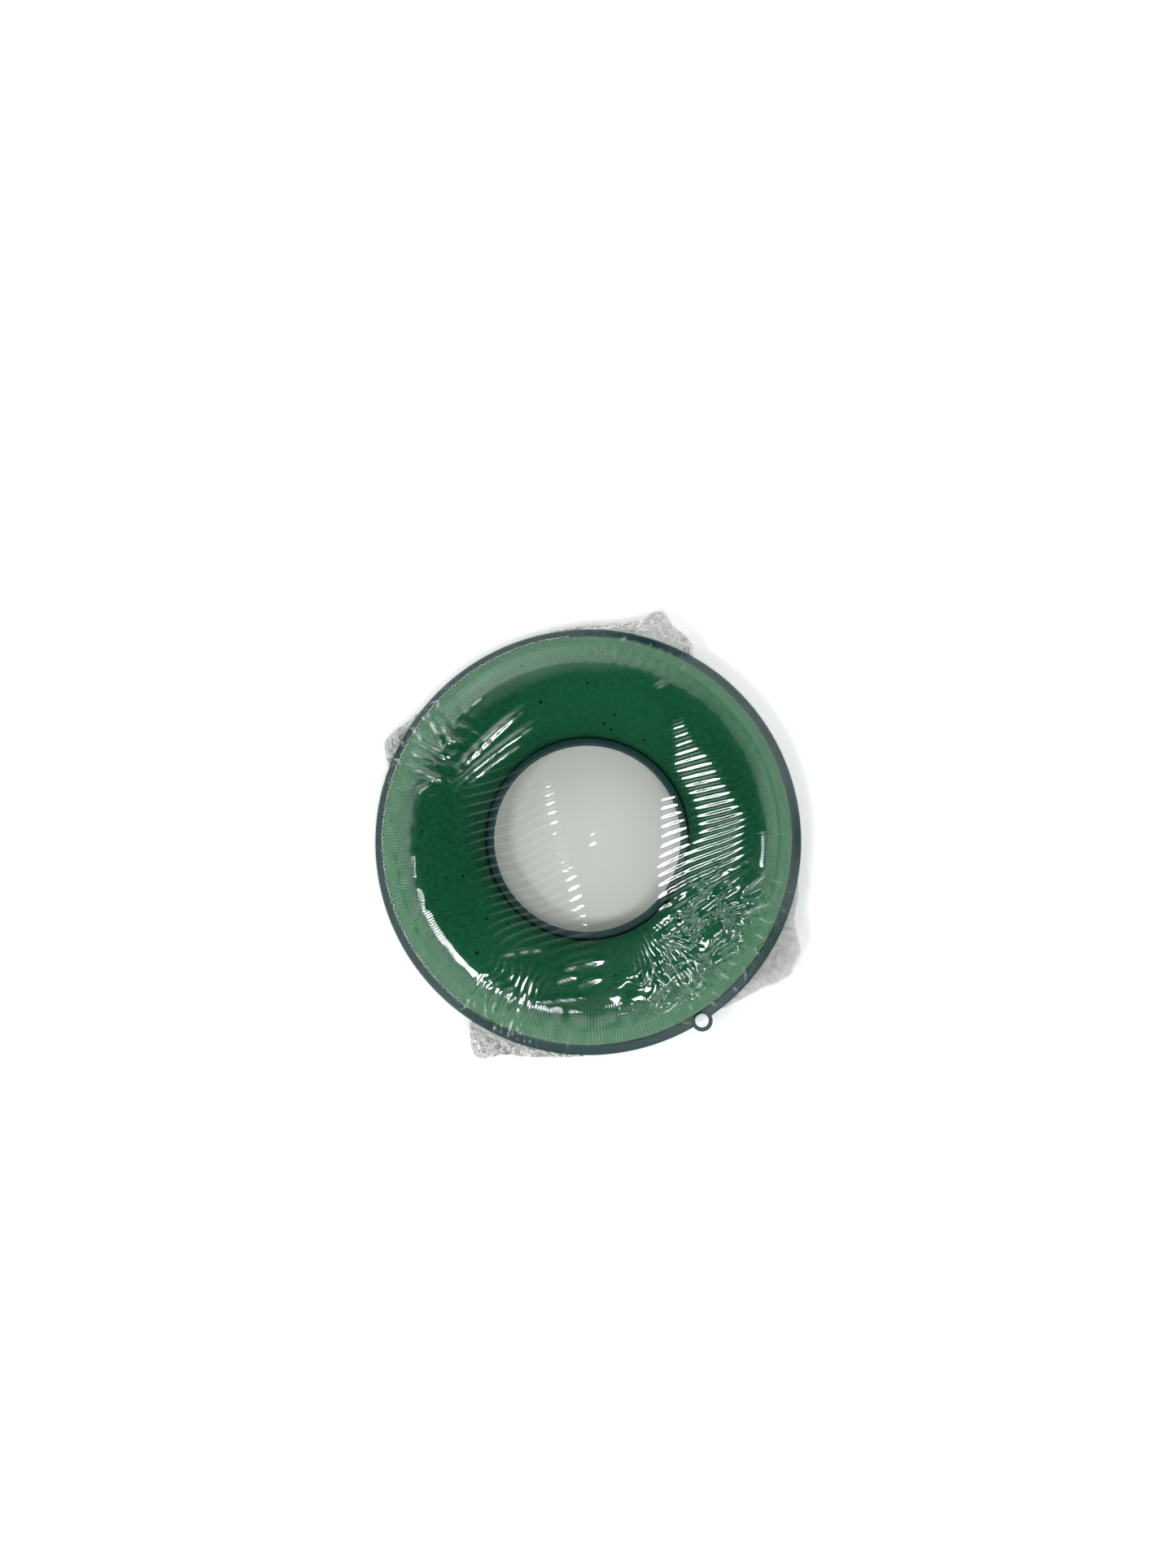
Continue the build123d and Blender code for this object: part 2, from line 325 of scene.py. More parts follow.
upper_section = np.concatenate([
    [(0, film_height), (crest_radius, film_height)],
    arc(crown_centre, crown_skin, 0, shoulder_slope, 20)[1:],
    arc(arc_centre, arc_radius, shoulder_slope, leave_slope, 24)[1:],
    [tuple(lip_point), (rim_radius, weld_height)],
])
lower_section = np.array([
    (rim_radius, weld_height), (base_high.x, base_high.z),
    (base_high.x - film_thickness, half_film), (0, half_film),
])


# %% Roll a section into a skin
def spaced(section, count):
    along = np.concatenate([[0], np.cumsum(np.hypot(*np.diff(section, axis=0).T))])
    marks = np.linspace(0, along[-1], count)
    return np.interp(marks, along, section[:, 0]), np.interp(marks, along, section[:, 1]), along[-1]


def roll_skin(name, section, turns, steps):
    bpy.ops.object.select_all(action="DESELECT")
    bpy.ops.mesh.primitive_grid_add(x_subdivisions=turns, y_subdivisions=steps, size=1)
    skin = bpy.context.object
    skin.name = name
    co = points_of(skin)
    radii, heights, length = spaced(section, steps + 1)
    row = np.rint((co[:, 1] + 0.5) * steps).astype(int)
    angle = (co[:, 0] + 0.5) * 2 * math.pi
    co = np.stack([radii[row] * np.cos(angle), radii[row] * np.sin(angle), heights[row]], 1)
    set_points(skin, co)
    bpy.ops.object.mode_set(mode="EDIT")
    bpy.ops.mesh.select_all(action="SELECT")
    bpy.ops.mesh.remove_doubles(threshold=0.002 * mm)
    bpy.ops.mesh.normals_make_consistent(inside=False)
    bpy.ops.object.mode_set(mode="OBJECT")
    bpy.ops.object.shade_smooth()
    print(name, "faces", len(skin.data.polygons), "developed radius", round(length, 4))
    return skin, length


def points_of(piece):
    co = np.empty(len(piece.data.vertices) * 3)
    piece.data.vertices.foreach_get("co", co)
    return co.reshape(-1, 3)


def set_points(piece, co):
    piece.data.vertices.foreach_set("co", co.astype(np.float32).ravel())
    piece.data.update()


def face_up(skin, upward):
    middle = min(skin.data.polygons, key=lambda face: face.center.xy.length)
    if (middle.normal.z > 0) != upward:
        skin.data.flip_normals()


# %% Open the film round the hanging eyelet
eyelet = next(m for m in frame["record"]["mounts"] if m["name"] == "hanging_eyelet")
eyelet_centre = np.array(eyelet["pos_m"][:2])
eyelet_clear = 6.6 * mm


def open_round_eyelet(skin, lowest):
    """Takes a round opening out of the skin, and draws its edge onto the circle."""
    co = points_of(skin)
    away = co[:, :2] - eyelet_centre
    distance = np.hypot(away[:, 0], away[:, 1])
    near = (np.abs(distance - eyelet_clear) < 0.5 * mm) & (co[:, 2] > lowest)
    co[near, :2] = eyelet_centre + away[near] / distance[near, None] * eyelet_clear
    set_points(skin, co)
    eyelet_middle = Vector(eyelet_centre)
    cut_reach = eyelet_clear - 0.05 * mm
    select_vertices(skin, lambda point: point.z > lowest and (point.xy - eyelet_middle).length < cut_reach)
    bpy.ops.mesh.delete(type="VERT")
    bpy.ops.object.mode_set(mode="OBJECT")
    print(skin.name, "faces after the opening", len(skin.data.polygons))


film_top, top_length = roll_skin("film_top", upper_section, turns=700, steps=138)
film_base, base_length = roll_skin("film_base", lower_section, turns=420, steps=110)
face_up(film_top, True)
face_up(film_base, False)
open_round_eyelet(film_top, 0)
open_round_eyelet(film_base, weld_height - 9 * mm)

# %% [markdown]
# ## The wrinkles
#
# Shrink film pulls tight unevenly. The result is families of ripples, each a train of waves whose
# direction and depth change slowly over the ring. Each family is described in plan by a phase,
# which says where in the wave a point is, and a steepness. The wide folds are moved in the mesh.
# The ripples a few millimetres apart are kept as attributes, a phase and a height for each
# point, and the material draws their waves, which stay smooth at any distance.

# %% Tools for wrinkles
def drift(x, y, size, seed):
    """A slow random field, about -1 to 1, made of a few long waves."""
    source = np.random.default_rng(seed)
    field = np.zeros_like(x)
    for _ in range(14):
        heading = source.uniform(0, 2 * math.pi)
        length = size * source.uniform(0.7, 1.6)
        shift = source.uniform(0, 2 * math.pi)
        field += np.cos(2 * math.pi * (x * math.cos(heading) + y * math.sin(heading)) / length + shift)
    return field / 3.7


def hump(value, middle, reach, power=2):
    return np.exp(-np.abs((value - middle) / reach) ** power)


def keep(piece, name, values):
    made = piece.data.attributes.new(name, "FLOAT", "POINT")
    made.data.foreach_set("value", values.astype(np.float32))


co = points_of(film_top)
x, y = co[:, 0] / mm, co[:, 1] / mm
radius = np.hypot(x, y)
bearing = np.degrees(np.arctan2(y, x)) % 360

# %% [markdown]
# ### Families of ripples
#
# The long ripples stand in two columns over the right of the ring. They lean more and lie further
# apart toward its lower end. Where each one crosses x = 60 is found by following its lean back, in 8
# half steps. The streaks are fainter, over the left of the hole, and the pleats are fine folds on
# the shoulder.

# %% Long ripples over the right of the ring
ripple_spacing = 4.86
crossing = y.copy()
for _ in range(8):
    lean = np.interp(crossing, [-70, -45, -20, 5, 50], [0.80, 0.66, 0.46, 0.28, 0.20])
    crossing = 0.5 * crossing + 0.5 * (y - (x - 60) * lean)
crossing += 0.9 * drift(x, y, 60, 3)
marks = np.linspace(-180, 180, 1441)
spacings = np.interp(marks, [-62, -40, -18], [1.75 * ripple_spacing, 1.6 * ripple_spacing, ripple_spacing])
waves_so_far = np.cumsum((marks[1] - marks[0]) / spacings)
ripple_phase = 2 * math.pi * np.interp(crossing, marks, waves_so_far)
outer_middle = np.interp(crossing, [-55, -15, 0, 20, 40, 62], [64, 70, 77, 71, 61, 53])
outer_reach = np.interp(crossing, [-55, -15, 0, 20, 40, 50, 64], [22, 19, 13.5, 11.5, 12, 7.5, 4.5])
inner_middle = np.interp(crossing, [-45, -10, 5, 22], [53, 50, 50, 47])
inner_reach = np.interp(crossing, [-10, 5, 22], [10.5, 8, 5])
outer_steep = np.interp(
    crossing,
    [-64, -56, -20, 0, 20, 44, 50, 65, 70],
    [0, 0.235, 0.245, 0.265, 0.29, 0.315, 0.25, 0.245, 0],
)
inner_steep = np.interp(crossing, [-52, -44, 0, 14, 24, 29], [0, 0.24, 0.265, 0.28, 0.25, 0])
outer_column = outer_steep * hump(x, outer_middle, outer_reach, 4)
inner_column = inner_steep * hump(x, inner_middle, inner_reach, 4)
steepness = np.maximum(outer_column, inner_column)
steepness *= 1 + 0.06 * drift(x, y, 24, 5)
ripple_height = steepness * np.interp(crossing, marks, spacings) / (2 * math.pi)

# %% Faint streaks over the left of the hole
streak_spacing = 5.6
streak_course = y - 0.36 * (x + 20) + 1.6 * drift(x, y, 50, 11)
streak_end = np.interp(y, [-60, -30, 0, 35], [0, -6, -16, -22])
streak_tip = np.interp(y, [-60, 35], [0.135, 0.225])
streak_rise = 0.08 * hump(x, streak_end - 26, 26, 4) + streak_tip * hump(x, streak_end, 5.0)
streak_rise += 0.185 * hump(x, 4, 3.8) * hump(y, 0, 11, 4)
streak_fade = hump(y, -12, 50, 6)
streak_height = streak_rise * streak_fade * streak_spacing / (2 * math.pi)
streak_phase = 2 * math.pi * streak_course / streak_spacing

# %% Fine pleats round the shoulder
pleat_count = 430
pleat_phase = np.radians(bearing) * pleat_count + 3.0 * drift(x, y, 34, 17)
pleat_band = hump(bearing, 198, 38, 4) + 0.9 * hump(bearing, 272, 26, 4) + 0.6
off_crown = np.clip((radius - 95) / 7, 0, 1)
off_lip = np.clip((120 - radius) / 3, 0, 1)
pleat_rise = 0.13 * pleat_band * off_crown * off_lip * np.clip(1 + 0.5 * drift(x, y, 9, 19), 0, 2)
pleat_height = pleat_rise * (2 * math.pi * radius / pleat_count) / (2 * math.pi)

# %% [markdown]
# ### Folds and gathers
#
# A fold is a single soft ridge from one point to another. It is named by its two ends, its width
# and how steep its sides are. A gather is what happens beside an ear, where spare film is bunched:
# pleats that run in from the rim, deepest at the rim, and fade over a few centimetres. A bell-shaped
# ridge stands 1.65 times its width times its steepest slope high. The crushed patch is lifted a
# little by the mesh, and its creases, in strokes and beside them in a fan, are drawn by the material.

# %% Folds
lift = np.zeros_like(x)
# Painted highlight: the crests of the streaks are lightened.
streak_crest = np.clip(np.cos(streak_phase + 0.8), 0, 1) ** 8
crest_highlight_paint = 0.07 * hump(x, streak_end - 24, 26, 6) * streak_fade * streak_crest


def fold(start, end, width, steep):
    """Raises a soft ridge between two points in plan, in millimetres, with a painted highlight on its crest.
    """
    global lift, crest_highlight_paint
    run = np.array(end, float) - np.array(start, float)
    length = np.hypot(*run)
    along = ((x - start[0]) * run[0] + (y - start[1]) * run[1]) / length
    across = ((y - start[1]) * run[0] - (x - start[0]) * run[1]) / length
    across = across - 0.06 * along * (length - along) / length
    fold_ridge = np.exp(-((across / width) ** 2) / 2) * hump(along, length / 2, length * 0.52, 4)
    lift = lift + steep * width * 1.65 * fold_ridge
    crest = hump(across, -0.9 * width, 0.5) * hump(along, length / 2, length * 0.46, 6)
    crest_highlight_paint = crest_highlight_paint + 0.45 * crest * np.clip(0.5 + 0.8 * drift(x, y, 7, 89), 0, 1)


fold((-73, 37), (-38, 71), 1.4, 0.42)
fold((-72, 41), (-45, 67), 1.0, 0.36)
fold((-73, 30), (-32, 62), 1.4, 0.40)
fold((-66, 31), (-38, 52), 1.0, 0.34)
fold((-75, 66), (-59, 81), 1.0, 0.42)
fold((-81, 49), (-77, 55), 1.0, 0.42)
fold((-102, 58), (-80, 44), 1.3, 0.44)
fold((-93, 75), (-81, 49), 1.2, 0.42)
fold((-100, 40), (-83, 31), 1.1, 0.40)
fold((-85, 68), (-76, 53), 1.2, 0.42)
fold((-96, 25), (-84, 33), 1.0, 0.38)
fold((-46, -67), (-25, -64), 1.0, 0.30)
fold((-12, -75), (9, -70), 1.1, 0.34)
fold((-16, -82), (-6, -79), 0.9, 0.36)
fold((-4, -84), (8, -80), 0.9, 0.36)
fold((-26, -93), (-2, -91), 1.0, 0.32)
fold((40, 85), (46, 87), 0.9, 0.32)
fold((88, -44), (103, -37), 1.2, 0.34)
fold((86, -34), (100, -22), 1.6, 0.36)

# %% Gathers beside the ears
def gather(bearing_middle, spread, inward, spacing, steep, seed):
    """Pleats that run in from the rim beside an ear, with painted highlights along their crests."""
    global lift, crest_highlight_paint
    away = (bearing - bearing_middle + 180) % 360 - 180
    arc_length = np.radians(away) * (radius * 0.35 + 78)
    course = arc_length + 2.6 * drift(x, y, 30, seed) + 0.8 * drift(x, y, 11, seed + 1)
    depth = hump(away, 0, spread, 4) * np.clip(1 - (124 - radius) / inward, 0, 1) ** 1.3
    depth *= np.clip((124.5 - radius) / 4, 0, 1)
    wave = np.cos(2 * math.pi * course / spacing)
    lift = lift + depth * steep * spacing / (2 * math.pi) * wave
    gather_crest = np.clip(wave, 0, 1) ** 20 * (0.4 + 0.9 * drift(x, y, 9, seed + 2))
    crest_highlight_paint = crest_highlight_paint + 0.75 * depth * steep * gather_crest


gather(149, 14, 54, 10.5, 0.80, 23)
gather(151, 17, 22, 5.0, 0.40, 27)
gather(243, 10, 48, 6.0, 0.85, 31)
gather(249, 16, 22, 4.2, 0.36, 37)
gather(322, 24, 46, 8.0, 0.40, 41)
gather(76, 20, 26, 8.0, 0.26, 43)

# %% Crushed patch at the lower right
crush_spacing, fan_spacing = 4.4, 3.6
patch = hump(np.hypot((x - 76) / 1.1, y + 50), 0, 27, 4)
past_patch = (bearing - 307 + 180) % 360 - 180
along_crown = hump(past_patch, 0, 21, 4) * hump(radius, 97, 14, 4)
crush = np.maximum(patch, along_crown) * (radius < 122)
crush_course = -0.60 * x + 0.80 * y + 4.5 * drift(x, y, 26, 53) + 1.3 * drift(x, y, 11, 54)
crush_phase = 2 * math.pi * crush_course / crush_spacing
crush_depth = np.clip(0.55 + 0.9 * drift(x, y, 13, 59), 0, 1.2)
crush_height = crush * 0.36 * crush_spacing / (2 * math.pi) * crush_depth
fan = hump(np.hypot(x - 48, y + 71), 0, 18, 4)
fan_course = np.degrees(np.arctan2(y + 40, x - 22)) * 0.62 + 0.8 * drift(x, y, 18, 71)
fan_phase = 2 * math.pi * fan_course / fan_spacing
fan_height = fan * 0.30 * fan_spacing / (2 * math.pi)
lift += crush * 0.5 * drift(x, y, 13, 67)
patchy = np.clip(0.4 + 0.8 * drift(x, y, 13, 79), 0, 1)
# The fan's crests get a painted highlight too.
crest_highlight_paint += fan * 0.5 * np.clip(np.cos(fan_phase), 0, 1) ** 8 * patchy

# %% [markdown]
# ### Painted reflection over the lip
#
# The dark lip shows through the film over it, more at some bearings than at others. A value for
# each point, 1 over the foam, lowers the mirrored share over the lip by bearing. These values were
# set by comparing renders, and no cause for them is modelled. Folds and lifts fade out over the
# last 3 mm before a radius of 125 mm, so that the two halves of the film still meet.

# %% Move the film by its folds and keep the ripples on it
lift += 0.10 * drift(x, y, 38, 73) * (radius < 123)
# Painted reflection: the mirrored share over the lip is cut by bearing.
painted_reflection_by_bearing = np.interp(bearing, [0, 15, 60, 72, 80, 100, 150, 170, 230, 240, 290, 305, 330, 345, 360],
                         [0.2, 0.85, 0.85, 0.0, 0.3, 0.8, 0.8, 0.5, 0.5, 0.05, 0.1, 0.5, 0.05, 0.6, 0.2])
at_rim = np.clip((radius - 117.5) / 2, 0, 1)
mirrored = 1 - at_rim * (1 - painted_reflection_by_bearing)
slack = np.clip((125.0 - radius) / 3, 0, 1)
normals = np.empty(len(film_top.data.vertices) * 3)
film_top.data.vertices.foreach_get("normal", normals)
normals = normals.reshape(-1, 3)
raised = np.where(radius > foam_inner / mm - 3, np.maximum(lift, -0.10), lift)
set_points(film_top, co + normals * (raised * slack * mm)[:, None])
for name, values in (
    ("ripple_phase", ripple_phase), ("ripple_height", ripple_height * slack),
    ("streak_phase", streak_phase), ("streak_height", streak_height),
    ("crush_phase", crush_phase), ("crush_height", crush_height * slack),
    ("fan_phase", fan_phase), ("fan_height", fan_height * slack),
    ("pleat_phase", pleat_phase), ("pleat_height", pleat_height * slack),
    ("crest_highlight_paint", np.clip(crest_highlight_paint * slack, 0, 0.75)), ("mirrored", mirrored),
):
    keep(film_top, name, values)
print("folds raise the film from", round(raised.min(), 2), "to", round(raised.max(), 2), "mm")

# %% [markdown]
# ## Clear film
#
# Film this thin bends no light, so it isn't glass: most light passes straight on, and a share is
# mirrored. That share is the Fresnel reflection of its two faces, about 1.8 times that of one, and
# it is small head on and large at a grazing angle. So the film is a mix of Transparent and a
# mirror-like Principled, and the mix is driven by Fresnel on the rippled normal. The share has an
# upper limit, set by comparing renders, and it is lower over the lip.
#
# The ripples are cosines of the phases kept on the mesh, with real heights in millimetres, so the
# Bump node's distance is one millimetre. Along the kept crests a little pale plastic is mixed in, a
# painted highlight.

# %% Film material
two_faces = 1.8
mirror_limit = 0.070


def clear_film(name, rippled):
    film = bpy.data.materials.new(name)
    tree = empty_tree(film)
    place = add(tree, "TexCoord").outputs["Object"]
    rubbed = add(tree, "TexNoise", {"Vector": place, "Scale": 260.0, "Detail": 3.0})
    height = total(tree, "MULTIPLY", rubbed.outputs["Fac"], 0.008)
    if rippled:
        for family in ("ripple", "streak", "crush", "fan", "pleat"):
            phase = add(tree, "Attribute", attribute_name=family + "_phase").outputs["Fac"]
            tall = add(tree, "Attribute", attribute_name=family + "_height").outputs["Fac"]
            wave = total(tree, "COSINE", phase)
            if family in ("ripple", "streak"):
                lean = total(tree, "SINE", total(tree, "MULTIPLY", phase, 2.0))
                wave = total(tree, "MULTIPLY_ADD", lean, 0.06, wave)
            height = total(tree, "ADD", height, total(tree, "MULTIPLY", wave, tall))
        # Painted highlight along the pleat crests.
        pleat_crest = total(tree, "POWER", total(tree, "MAXIMUM", wave, 0.0), 3.0)
        pleat_highlight_paint = total(tree, "MULTIPLY", total(tree, "MULTIPLY", pleat_crest, tall), 1.7)
    relief = add(tree, "Bump", {"Height": height, "Distance": 0.001, "Strength": 1.0})
    see_through = add(tree, "BsdfTransparent", {"Color": (0.915, 0.92, 0.905, 1)})
    gloss = add(tree, "BsdfPrincipled", {
        "Base Color": (0.97, 0.98, 1.0, 1), "Metallic": 1.0, "Roughness": 0.05, "Normal": relief.outputs[0],
    })
    rim_light = add(tree, "Fresnel", {"IOR": 1.5, "Normal": relief.outputs[0]}).outputs[0]
    share = total(tree, "MINIMUM", total(tree, "MULTIPLY", rim_light, two_faces), mirror_limit)
    if rippled:
        mirrored = add(tree, "Attribute", attribute_name="mirrored").outputs["Fac"]
        share = total(tree, "MULTIPLY", share, mirrored)
    clear = add(tree, "MixShader", {0: share, 1: see_through.outputs[0], 2: gloss.outputs[0]})
    if not rippled:
        finish_material(tree, clear)
        return film
    # The kept crest values mix in pale plastic, which is a painted highlight.
    painted_highlight_share = add(tree, "Attribute", attribute_name="crest_highlight_paint").outputs["Fac"]
    painted_highlight_share = total(tree, "ADD!", painted_highlight_share, pleat_highlight_paint)
    pale = add(tree, "BsdfPrincipled", {
        "Base Color": (0.86, 0.93, 0.9, 1), "Roughness": 0.25, "Normal": relief.outputs[0],
    })
    finish_material(tree, add(tree, "MixShader", {0: painted_highlight_share, 1: clear.outputs[0], 2: pale.outputs[0]}))
    return film


dress(film_top, clear_film("clear_film_upper", True))
dress(film_base, clear_film("clear_film_lower", False))

# %% [markdown]
# ## The weld
#
# Where the bag was welded shut, a thin bead of melted film runs round the left of the ring just
# inside the lip. It gathers into a tiny zigzag as the film shrinks. It is a tube: a small circle
# spun along its arc, closed at both ends, then pushed in and out in a zigzag that follows the film.

# %% Weld bead
bead_low, bead_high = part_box("film_weld_bead")
bead_radius = 0.4 * mm
bead_middle = 117.9 * mm
bead_start, bead_end = 95.0, 236.0
zigzag_spacing, zigzag_reach = 2.4 * mm, 1.0 * mm
turn = Matrix.Rotation(math.radians(bead_start), 4, "Z")
bpy.ops.mesh.primitive_circle_add(
    vertices=8, radius=bead_radius, fill_type="NGON", location=turn @ Vector((bead_middle, 0, 0)),
    rotation=(math.pi / 2, 0, math.radians(bead_start)),
)
weld = bpy.context.object
weld.name = "weld_line"
bpy.ops.object.transform_apply(location=True, rotation=True, scale=True)
bpy.ops.object.mode_set(mode="EDIT")
bpy.ops.mesh.select_all(action="SELECT")
bpy.ops.mesh.spin(steps=900, angle=math.radians(bead_end - bead_start), center=(0, 0, 0), axis=(0, 0, -1))
bpy.ops.mesh.select_all(action="SELECT")
bpy.ops.mesh.remove_doubles(threshold=0.01 * mm)
bpy.ops.mesh.normals_make_consistent(inside=False)
bpy.ops.object.mode_set(mode="OBJECT")
bpy.ops.object.shade_smooth()
co = points_of(weld)
swing = np.arctan2(co[:, 1], co[:, 0])
distance = np.hypot(co[:, 0], co[:, 1])
run = swing * bead_middle / zigzag_spacing + 0.25 * np.sin(swing * 37) + 0.2 * np.sin(swing * 91)
zigzag = (2 * np.abs(2 * (run % 1) - 1) - 1) * zigzag_reach * (0.8 + 0.3 * np.sin(swing * 53))
distance_new = distance + zigzag
film_at = np.interp(bead_middle + zigzag, upper_section[:, 0], upper_section[:, 1])
co[:, 0] *= distance_new / distance
co[:, 1] *= distance_new / distance
co[:, 2] += film_at + 0.3 * mm
set_points(weld, co)
bearings = np.degrees(swing) % 360
print("weld faces", len(weld.data.polygons), "bearings", bearings.min().round(), bearings.max().round(),
      "CAD heights", round(bead_low.z, 4), round(bead_high.z, 4))

# %% Weld material
milky_weld = bpy.data.materials.new("milky_weld")
tree = empty_tree(milky_weld)
place = add(tree, "TexCoord").outputs["Object"]
beads = add(tree, "TexNoise", {"Vector": place, "Scale": 900.0, "Detail": 2.0})
tint = blend_colours(tree, beads.outputs["Fac"], (0.30, 0.40, 0.35, 1), (0.72, 0.80, 0.76, 1))
cloudy = add(tree, "BsdfPrincipled", {"Base Color": tint, "Roughness": 0.2})
see_through = add(tree, "BsdfTransparent", {"Color": (0.9, 0.93, 0.92, 1)})
share = remap(tree, beads.outputs["Fac"], 0.35, 0.65, 0.2, 0.65)
finish_material(tree, add(tree, "MixShader", {0: share, 1: see_through.outputs[0], 2: cloudy.outputs[0]}))
dress(weld, milky_weld)

# %% [markdown]
# ## The ears
#
# At four places the bag's spare corners stand out past the rim. Three layers of film lie
# there on top of each other, crushed into facets, so they look frosted where the clear film looks
# like nothing. Each layer is a grid laid from the rim to the ear's own outline, which is read
# from its CAD node, and pushed up and down by pleats that spread from the rim and by sharp random
# creases.

# %% Outline of an ear
def ear_outline(node):
    co = points_of(frame["nodes"][node])
    reach = np.hypot(co[:, 0], co[:, 1])
    centre = math.atan2(co[:, 1].mean(), co[:, 0].mean())
    away = (np.arctan2(co[:, 1], co[:, 0]) - centre + math.pi) % (2 * math.pi) - math.pi
    marks = np.linspace(away.min(), away.max(), 181)
    edge = np.full(len(marks), rim_radius)
    for face in frame["nodes"][node].data.polygons:
        corners = list(face.vertices)
        for a, b in zip(corners, corners[1:] + corners[:1]):
            inside = (marks >= min(away[a], away[b])) & (marks <= max(away[a], away[b]))
            if abs(away[a] - away[b]) > 1e-9:
                at = (marks - away[a]) / (away[b] - away[a])
                edge = np.where(inside, np.maximum(edge, reach[a] + at * (reach[b] - reach[a])), edge)
    return centre, marks, edge


# %% Build an ear
def make_ear(name, node, layers, seed):
    centre, marks, edge = ear_outline(node)
    low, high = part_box(node)
    middle = (low.z + high.z) / 2
    made = []
    for layer in range(layers):
        bpy.ops.object.select_all(action="DESELECT")
        bpy.ops.mesh.primitive_grid_add(x_subdivisions=110, y_subdivisions=44, size=1)
        sheet = bpy.context.object
        co = points_of(sheet)
        across, out = co[:, 0] + 0.5, co[:, 1] + 0.5
        away = marks[0] + across * (marks[-1] - marks[0])
        ragged = 1 - 0.05 * layer - 0.03 * (1 + drift(across * 60, out * 0, 9, seed + layer))
        start = rim_radius - 1.2 * mm
        reach = start + out * (start + (np.interp(away, marks, edge) - start) * ragged - start)
        px, py = reach * np.cos(centre + away), reach * np.sin(centre + away)
        mx, my = px / mm, py / mm
        sharp = 1 - 2 * np.abs(drift(mx, my, 8.5, seed + 7 * layer + 1))
        facets = 1 - 2 * np.abs(drift(mx, my, 4.0, seed + 7 * layer + 2))
        pleats = np.cos(away * rim_radius / mm * 2 * math.pi / 6.5 + 2.5 * drift(mx, my, 18, seed + 3))
        rise = np.clip(out * 3, 0, 1)
        height = middle + (layer - (layers - 1) / 2) * 0.9 * mm * rise
        height += (1.0 * sharp + 0.45 * facets + 0.7 * pleats * (1 - 0.5 * out)) * rise * mm
        set_points(sheet, np.stack([px, py, height], 1))
        made.append(sheet)
    for sheet in made:
        sheet.select_set(True)
    bpy.context.view_layer.objects.active = made[0]
    bpy.ops.object.join()
    ear = bpy.context.object
    ear.name = name
    bpy.ops.object.mode_set(mode="EDIT")
    bpy.ops.mesh.select_all(action="SELECT")
    bpy.ops.mesh.remove_doubles(threshold=0.002 * mm)
    bpy.ops.mesh.normals_make_consistent(inside=False)
    bpy.ops.object.mode_set(mode="OBJECT")
    bpy.ops.object.shade_smooth()
    print(name, "faces", len(ear.data.polygons))
    return ear


# %% Frosted film for the ears
frosted = bpy.data.materials.new("frosted_film")
tree = empty_tree(frosted)
place = add(tree, "TexCoord").outputs["Object"]
crinkle = add(tree, "TexNoise", {"Vector": place, "Scale": 300.0, "Detail": 2.0, "Distortion": 0.8})
veil = add(tree, "TexNoise", {"Vector": place, "Scale": 130.0, "Detail": 3.0})
relief = add(tree, "Bump", {"Height": crinkle.outputs["Fac"], "Distance": 0.0006, "Strength": 1.0})
tint = blend_colours(tree, veil.outputs["Fac"], (0.50, 0.50, 0.49, 1), (0.76, 0.76, 0.75, 1))
cloudy = add(tree, "BsdfPrincipled", {
    "Base Color": tint, "Roughness": 0.16, "Normal": relief.outputs[0], "Specular IOR Level": 0.7,
})
see_through = add(tree, "BsdfTransparent", {"Color": (0.885, 0.885, 0.88, 1)})
edge_on = add(tree, "Fresnel", {"IOR": 1.5, "Normal": relief.outputs[0]}).outputs[0]
share = total(tree, "ADD!", remap(tree, veil.outputs["Fac"], 0.3, 0.7, 0.06, 0.24), edge_on)
finish_material(tree, add(tree, "MixShader", {0: share, 1: see_through.outputs[0], 2: cloudy.outputs[0]}))

# %% Four ears
for side, layers, seed in (("top", 3, 101), ("left", 3, 131), ("bottom", 3, 161), ("right", 3, 191)):
    ear = make_ear("ear_" + side, "film_ear_" + side, layers, seed)
    dress(ear, frosted)
    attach(ear, "root")
    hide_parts("film_ear_" + side)

# %% [markdown]
# ## What each piece stands for
#
# The film's two halves are sheets. A flat disc of film as wide as the section is long makes each
# half. The two halves and the weld are attached to the root, and the CAD nodes they stand for are hidden.

for piece, nodes in (
    (film_top, ("film_top_panel", "film_shoulder")),
    (film_base, ("film_side", "film_base_panel")),
    (weld, ("film_weld_bead",)),
):
    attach(piece, "root")
    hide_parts(*nodes)

# %% [markdown]
# ## Floor, light and camera
#
# The ring lies on a plain white floor under a large pale room. Straight above it the room is dark,
# as it is behind a person looking down, and that is what keeps the flat film clear while the film
# on the shoulder turns pale. A broad glow toward the upper left, like a window, pales it more there,
# another lies high toward the lower right, and the light high up comes in uneven patches.
# Three lamps make the bright lines: a broad one at the lower right, whose image breaks up over the
# ripples, a small cool one at the right, and an oval one at the lower left, whose image is the long
# bright arc.

# %% Floor
bpy.ops.object.select_all(action="DESELECT")
bpy.ops.mesh.primitive_plane_add(size=12)
floor = bpy.context.object
floor.name = "floor"
pale_floor = bpy.data.materials.new("pale_floor")
tree = empty_tree(pale_floor)
place = add(tree, "TexCoord").outputs["Object"]
faint = add(tree, "TexNoise", {"Vector": place, "Scale": 8.0})
tint = blend_colours(tree, faint.outputs["Fac"], (0.93, 0.93, 0.93, 1), (0.95, 0.95, 0.95, 1))
skin = add(tree, "BsdfPrincipled", {"Base Color": tint, "Roughness": 0.9, "Specular IOR Level": 0.1})
finish_material(tree, skin)
dress(floor, pale_floor)

